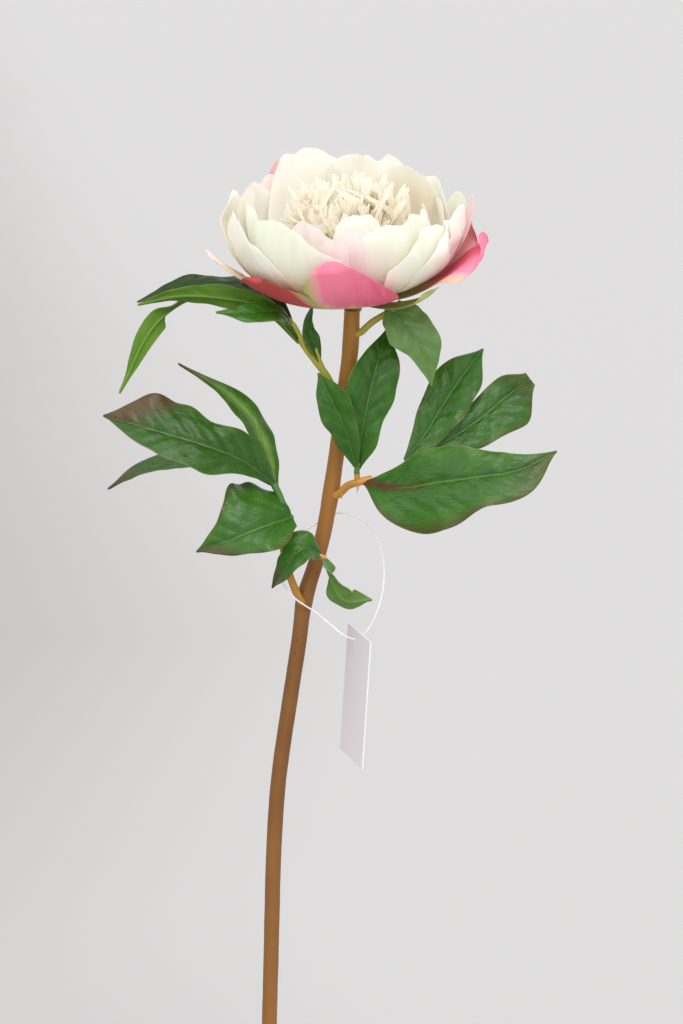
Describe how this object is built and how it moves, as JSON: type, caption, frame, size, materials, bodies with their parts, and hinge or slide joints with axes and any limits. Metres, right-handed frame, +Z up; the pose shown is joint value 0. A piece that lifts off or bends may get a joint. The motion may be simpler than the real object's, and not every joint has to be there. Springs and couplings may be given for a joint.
{
  "type": "peony in a bud vase",
  "caption": "Double peony bloom on a long leafy stem, with a blank hang tag, standing in a narrow-necked ceramic bud vase of water",
  "frame": {"origin": "centre of the vase's flat base", "axes": "+Z up; +X to the right and +Y away from the viewer in the picture's view"},
  "size_m": [0.2065, 0.1034, 0.5968],
  "materials": {
    "vase_glaze": "gloss",
    "vase_water": "gloss",
    "stem_skin": "satin",
    "sepal_green": "matte",
    "guard_pink": "matte",
    "petal_ivory": "matte",
    "petaloid_cream": "matte",
    "leaf_green": "satin",
    "tag_card": "satin",
    "tag_line": "gloss"
  },
  "bodies": {
    "root": {"vase": "vase_glaze", "water": "vase_water", "stem": "stem_skin", "calyx": "sepal_green", "guard_petals": "guard_pink", "ivory_petals": "petal_ivory", "petaloid_tuft": "petaloid_cream", "leaf_upper_left": "leaf_green", "leaf_bract": "leaf_green", "leaf_middle_right": "leaf_green", "leaf_lower_left": "leaf_green", "tag": "tag_card", "tag_loop": "tag_line"}
  },
  "joints": []
}
